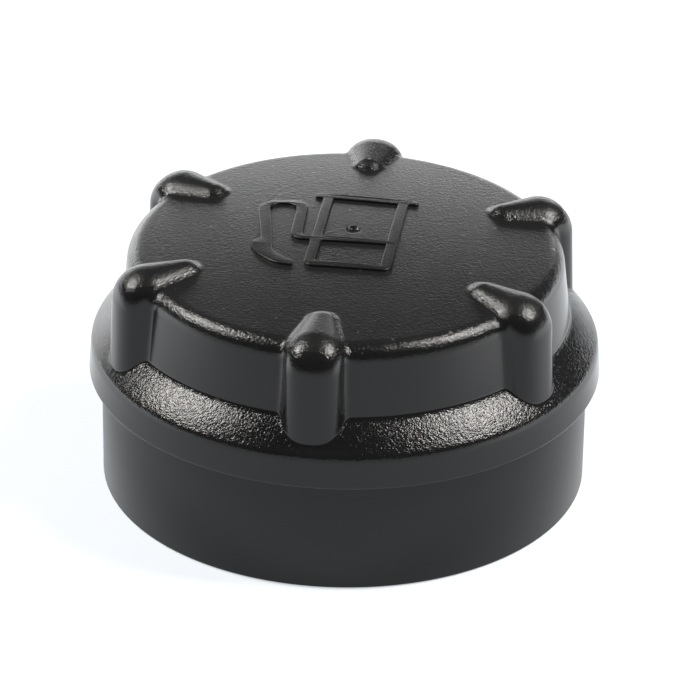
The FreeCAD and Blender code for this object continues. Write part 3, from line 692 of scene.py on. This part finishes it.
sign_curve.extrude = SIGN_RISE * mm
sign_curve.bevel_depth = SIGN_EDGE * mm
sign_curve.bevel_resolution = 3
sign_curve.offset = -SIGN_EDGE * mm
for corners in (sign_outline, upper_window, lower_window):
    contour = eased(corners, steps=8)
    fine_contour = []
    for here, there in zip(contour, np.roll(contour, -1, axis=0)):
        fine_contour += spaced(here, there, max(1, round(np.linalg.norm(there - here) / sign_step)))
    spline = sign_curve.splines.new("POLY")
    spline.points.add(len(fine_contour) - 1)
    for point, (x, y) in zip(spline.points, fine_contour):
        point.co = (x * mm, y * mm, 0, 1)
    spline.use_cyclic_u = True
sign_source = bpy.data.objects.new("pump_sign_outline", sign_curve)
bpy.context.scene.collection.objects.link(sign_source)
bpy.context.view_layer.update()
evaluated_sign = sign_source.evaluated_get(bpy.context.evaluated_depsgraph_get())
sign_mesh = bpy.data.meshes.new_from_object(evaluated_sign)
bpy.data.objects.remove(sign_source)
for vertex in sign_mesh.vertices:
    vertex.co.z += (crown_level(vertex.co.x / mm, vertex.co.y / mm) - SIGN_EDGE) * mm
welded = bmesh.new()
welded.from_mesh(sign_mesh)
bmesh.ops.remove_doubles(welded, verts=welded.verts, dist=0.001 * mm)
bmesh.ops.recalc_face_normals(welded, faces=welded.faces)
welded.to_mesh(sign_mesh)
welded.free()
sign_mesh.shade_smooth()
sign_mesh.set_sharp_from_angle(angle=math.radians(40))
sign_piece = bpy.data.objects.new("pump_sign", sign_mesh)
bpy.context.scene.collection.objects.link(sign_piece)
sign_plastic = Finish("smooth_sign_plastic", Specular_IOR_Level=0.3)
sign_skin = sign_plastic.noise(0.5 * mm, 2)
sign_drift = sign_plastic.noise(7 * mm, 2)
sign_plastic.set(
    Base_Color=sign_plastic.tint(sign_drift, deep_black, soft_black),
    Roughness=0.27 + sign_drift * 0.06,
    Normal=sign_plastic.relief(sign_skin, 0.06 * mm),
)
sign_plastic.dress(sign_piece)
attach(sign_piece, "cover")

# Studio. White table that glows at the sides and behind, with two soft boxes high on the left and right and
# a long low panel behind. The room towards the camera is dim. The table lies just below the cap's foot.
floor_mesh = bpy.data.meshes.new("table")
floor_half, floor_level = 4.0, -0.0001
floor_mesh.from_pydata(
    [(x * floor_half, y * floor_half, floor_level) for x, y in ((-1, -1), (1, -1), (1, 1), (-1, 1))],
    [], [(0, 1, 2, 3)],
)
table = bpy.data.objects.new("table", floor_mesh)
bpy.context.scene.collection.objects.link(table)
white_table = Finish("white_table", Specular_IOR_Level=0.1, Roughness=0.9, Emission_Strength=2.12)
paper = white_table.noise(0.4, 2)
sideways = white_table.node("ShaderNodeSeparateXYZ", {}, {0: white_table.place()}, "X")
backwards = white_table.node("ShaderNodeSeparateXYZ", {}, {0: white_table.place()}, "Y")
# Painted light: the table glows as a light of its own, dimmer under the cap and towards the camera and
# brighter at the sides and behind. It lights the cap, fills the reflections in its walls and washes out the
# cap's shadow on the table.
glow = white_table.band(sideways * sideways, 0.004, 0.05) * white_table.band(backwards, -0.17, -0.06)
white_table.set(
    Base_Color=white_table.tint(paper, (0.36, 0.375, 0.4), (0.37, 0.385, 0.41)),
    Emission_Color=white_table.tint(glow, (0.25, 0.26, 0.27), (0.97, 0.985, 1.0)),
)
white_table.dress(table)

world = bpy.data.worlds.new("studio_room")
bpy.context.scene.world = world
world.use_nodes = True
world.node_tree.nodes["Background"].inputs["Color"].default_value = (0.09, 0.09, 0.09, 1)

view_turn = math.radians(7.5)
right = Vector((math.cos(view_turn), math.sin(view_turn), 0))
ahead = Vector((-math.sin(view_turn), math.cos(view_turn), 0))


def soft_box(name, towards, distance, width, height, power, colour):
    """A flat lamp seen from the cap in a direction given as right, ahead and up shares."""
    cap_middle = Vector((0, 0, 0.03))
    lamp = bpy.data.lights.new(name, "AREA")
    lamp.shape = "RECTANGLE"
    lamp.size = width
    lamp.size_y = height
    lamp.energy = power
    lamp.color = colour
    holder = bpy.data.objects.new(name, lamp)
    direction = (right * towards[0] + ahead * towards[1] + Vector((0, 0, 1)) * towards[2]).normalized()
    holder.location = cap_middle + direction * distance
    holder.rotation_euler = direction.to_track_quat("Z", "Y").to_euler()
    bpy.context.scene.collection.objects.link(holder)


warm_white, plain_white = (1.0, 0.98, 0.94), (1.0, 1.0, 1.0)
soft_box("soft_box_left", (-0.70, 0.11, 0.71), 1.1, width=0.38, height=0.44, power=16.5, colour=warm_white)
soft_box("soft_box_right", (0.62, -0.04, 0.77), 1.1, width=0.38, height=0.44, power=20, colour=warm_white)
soft_box("back_panel", (-0.2, 0.965, 0.15), 1.5, width=2.0, height=0.42, power=10, colour=plain_white)

# Camera at the photograph's angle. A long lens looks down on the cap from the front, with a slight roll.
# Its focal length is counted in the photograph's pixels.
camera_rise, camera_roll, camera_distance = math.radians(28.65), math.radians(0.85), 0.85
target_right, target_height = 1.05, 25.5
sensor_width, focal_pixels, photo_pixels = 36, 4335, 700
look = ahead * math.cos(camera_rise) - Vector((0, 0, 1)) * math.sin(camera_rise)
level_up = right.cross(look)
camera_right = right * math.cos(camera_roll) + level_up * math.sin(camera_roll)
camera_up = level_up * math.cos(camera_roll) - right * math.sin(camera_roll)
camera_data = bpy.data.cameras.new("photo_camera")
camera_data.sensor_width = sensor_width
camera_data.lens = sensor_width * focal_pixels / photo_pixels
camera_data.clip_start = 0.01
camera = bpy.data.objects.new("photo_camera", camera_data)
target = right * target_right * mm + Vector((0, 0, target_height * mm))
camera_axes = Matrix((camera_right, camera_up, -look)).transposed().to_4x4()
camera.matrix_world = Matrix.Translation(target - look * camera_distance) @ camera_axes
bpy.context.scene.collection.objects.link(camera)
bpy.context.scene.camera = camera
bpy.context.scene.view_settings.view_transform = "Standard"
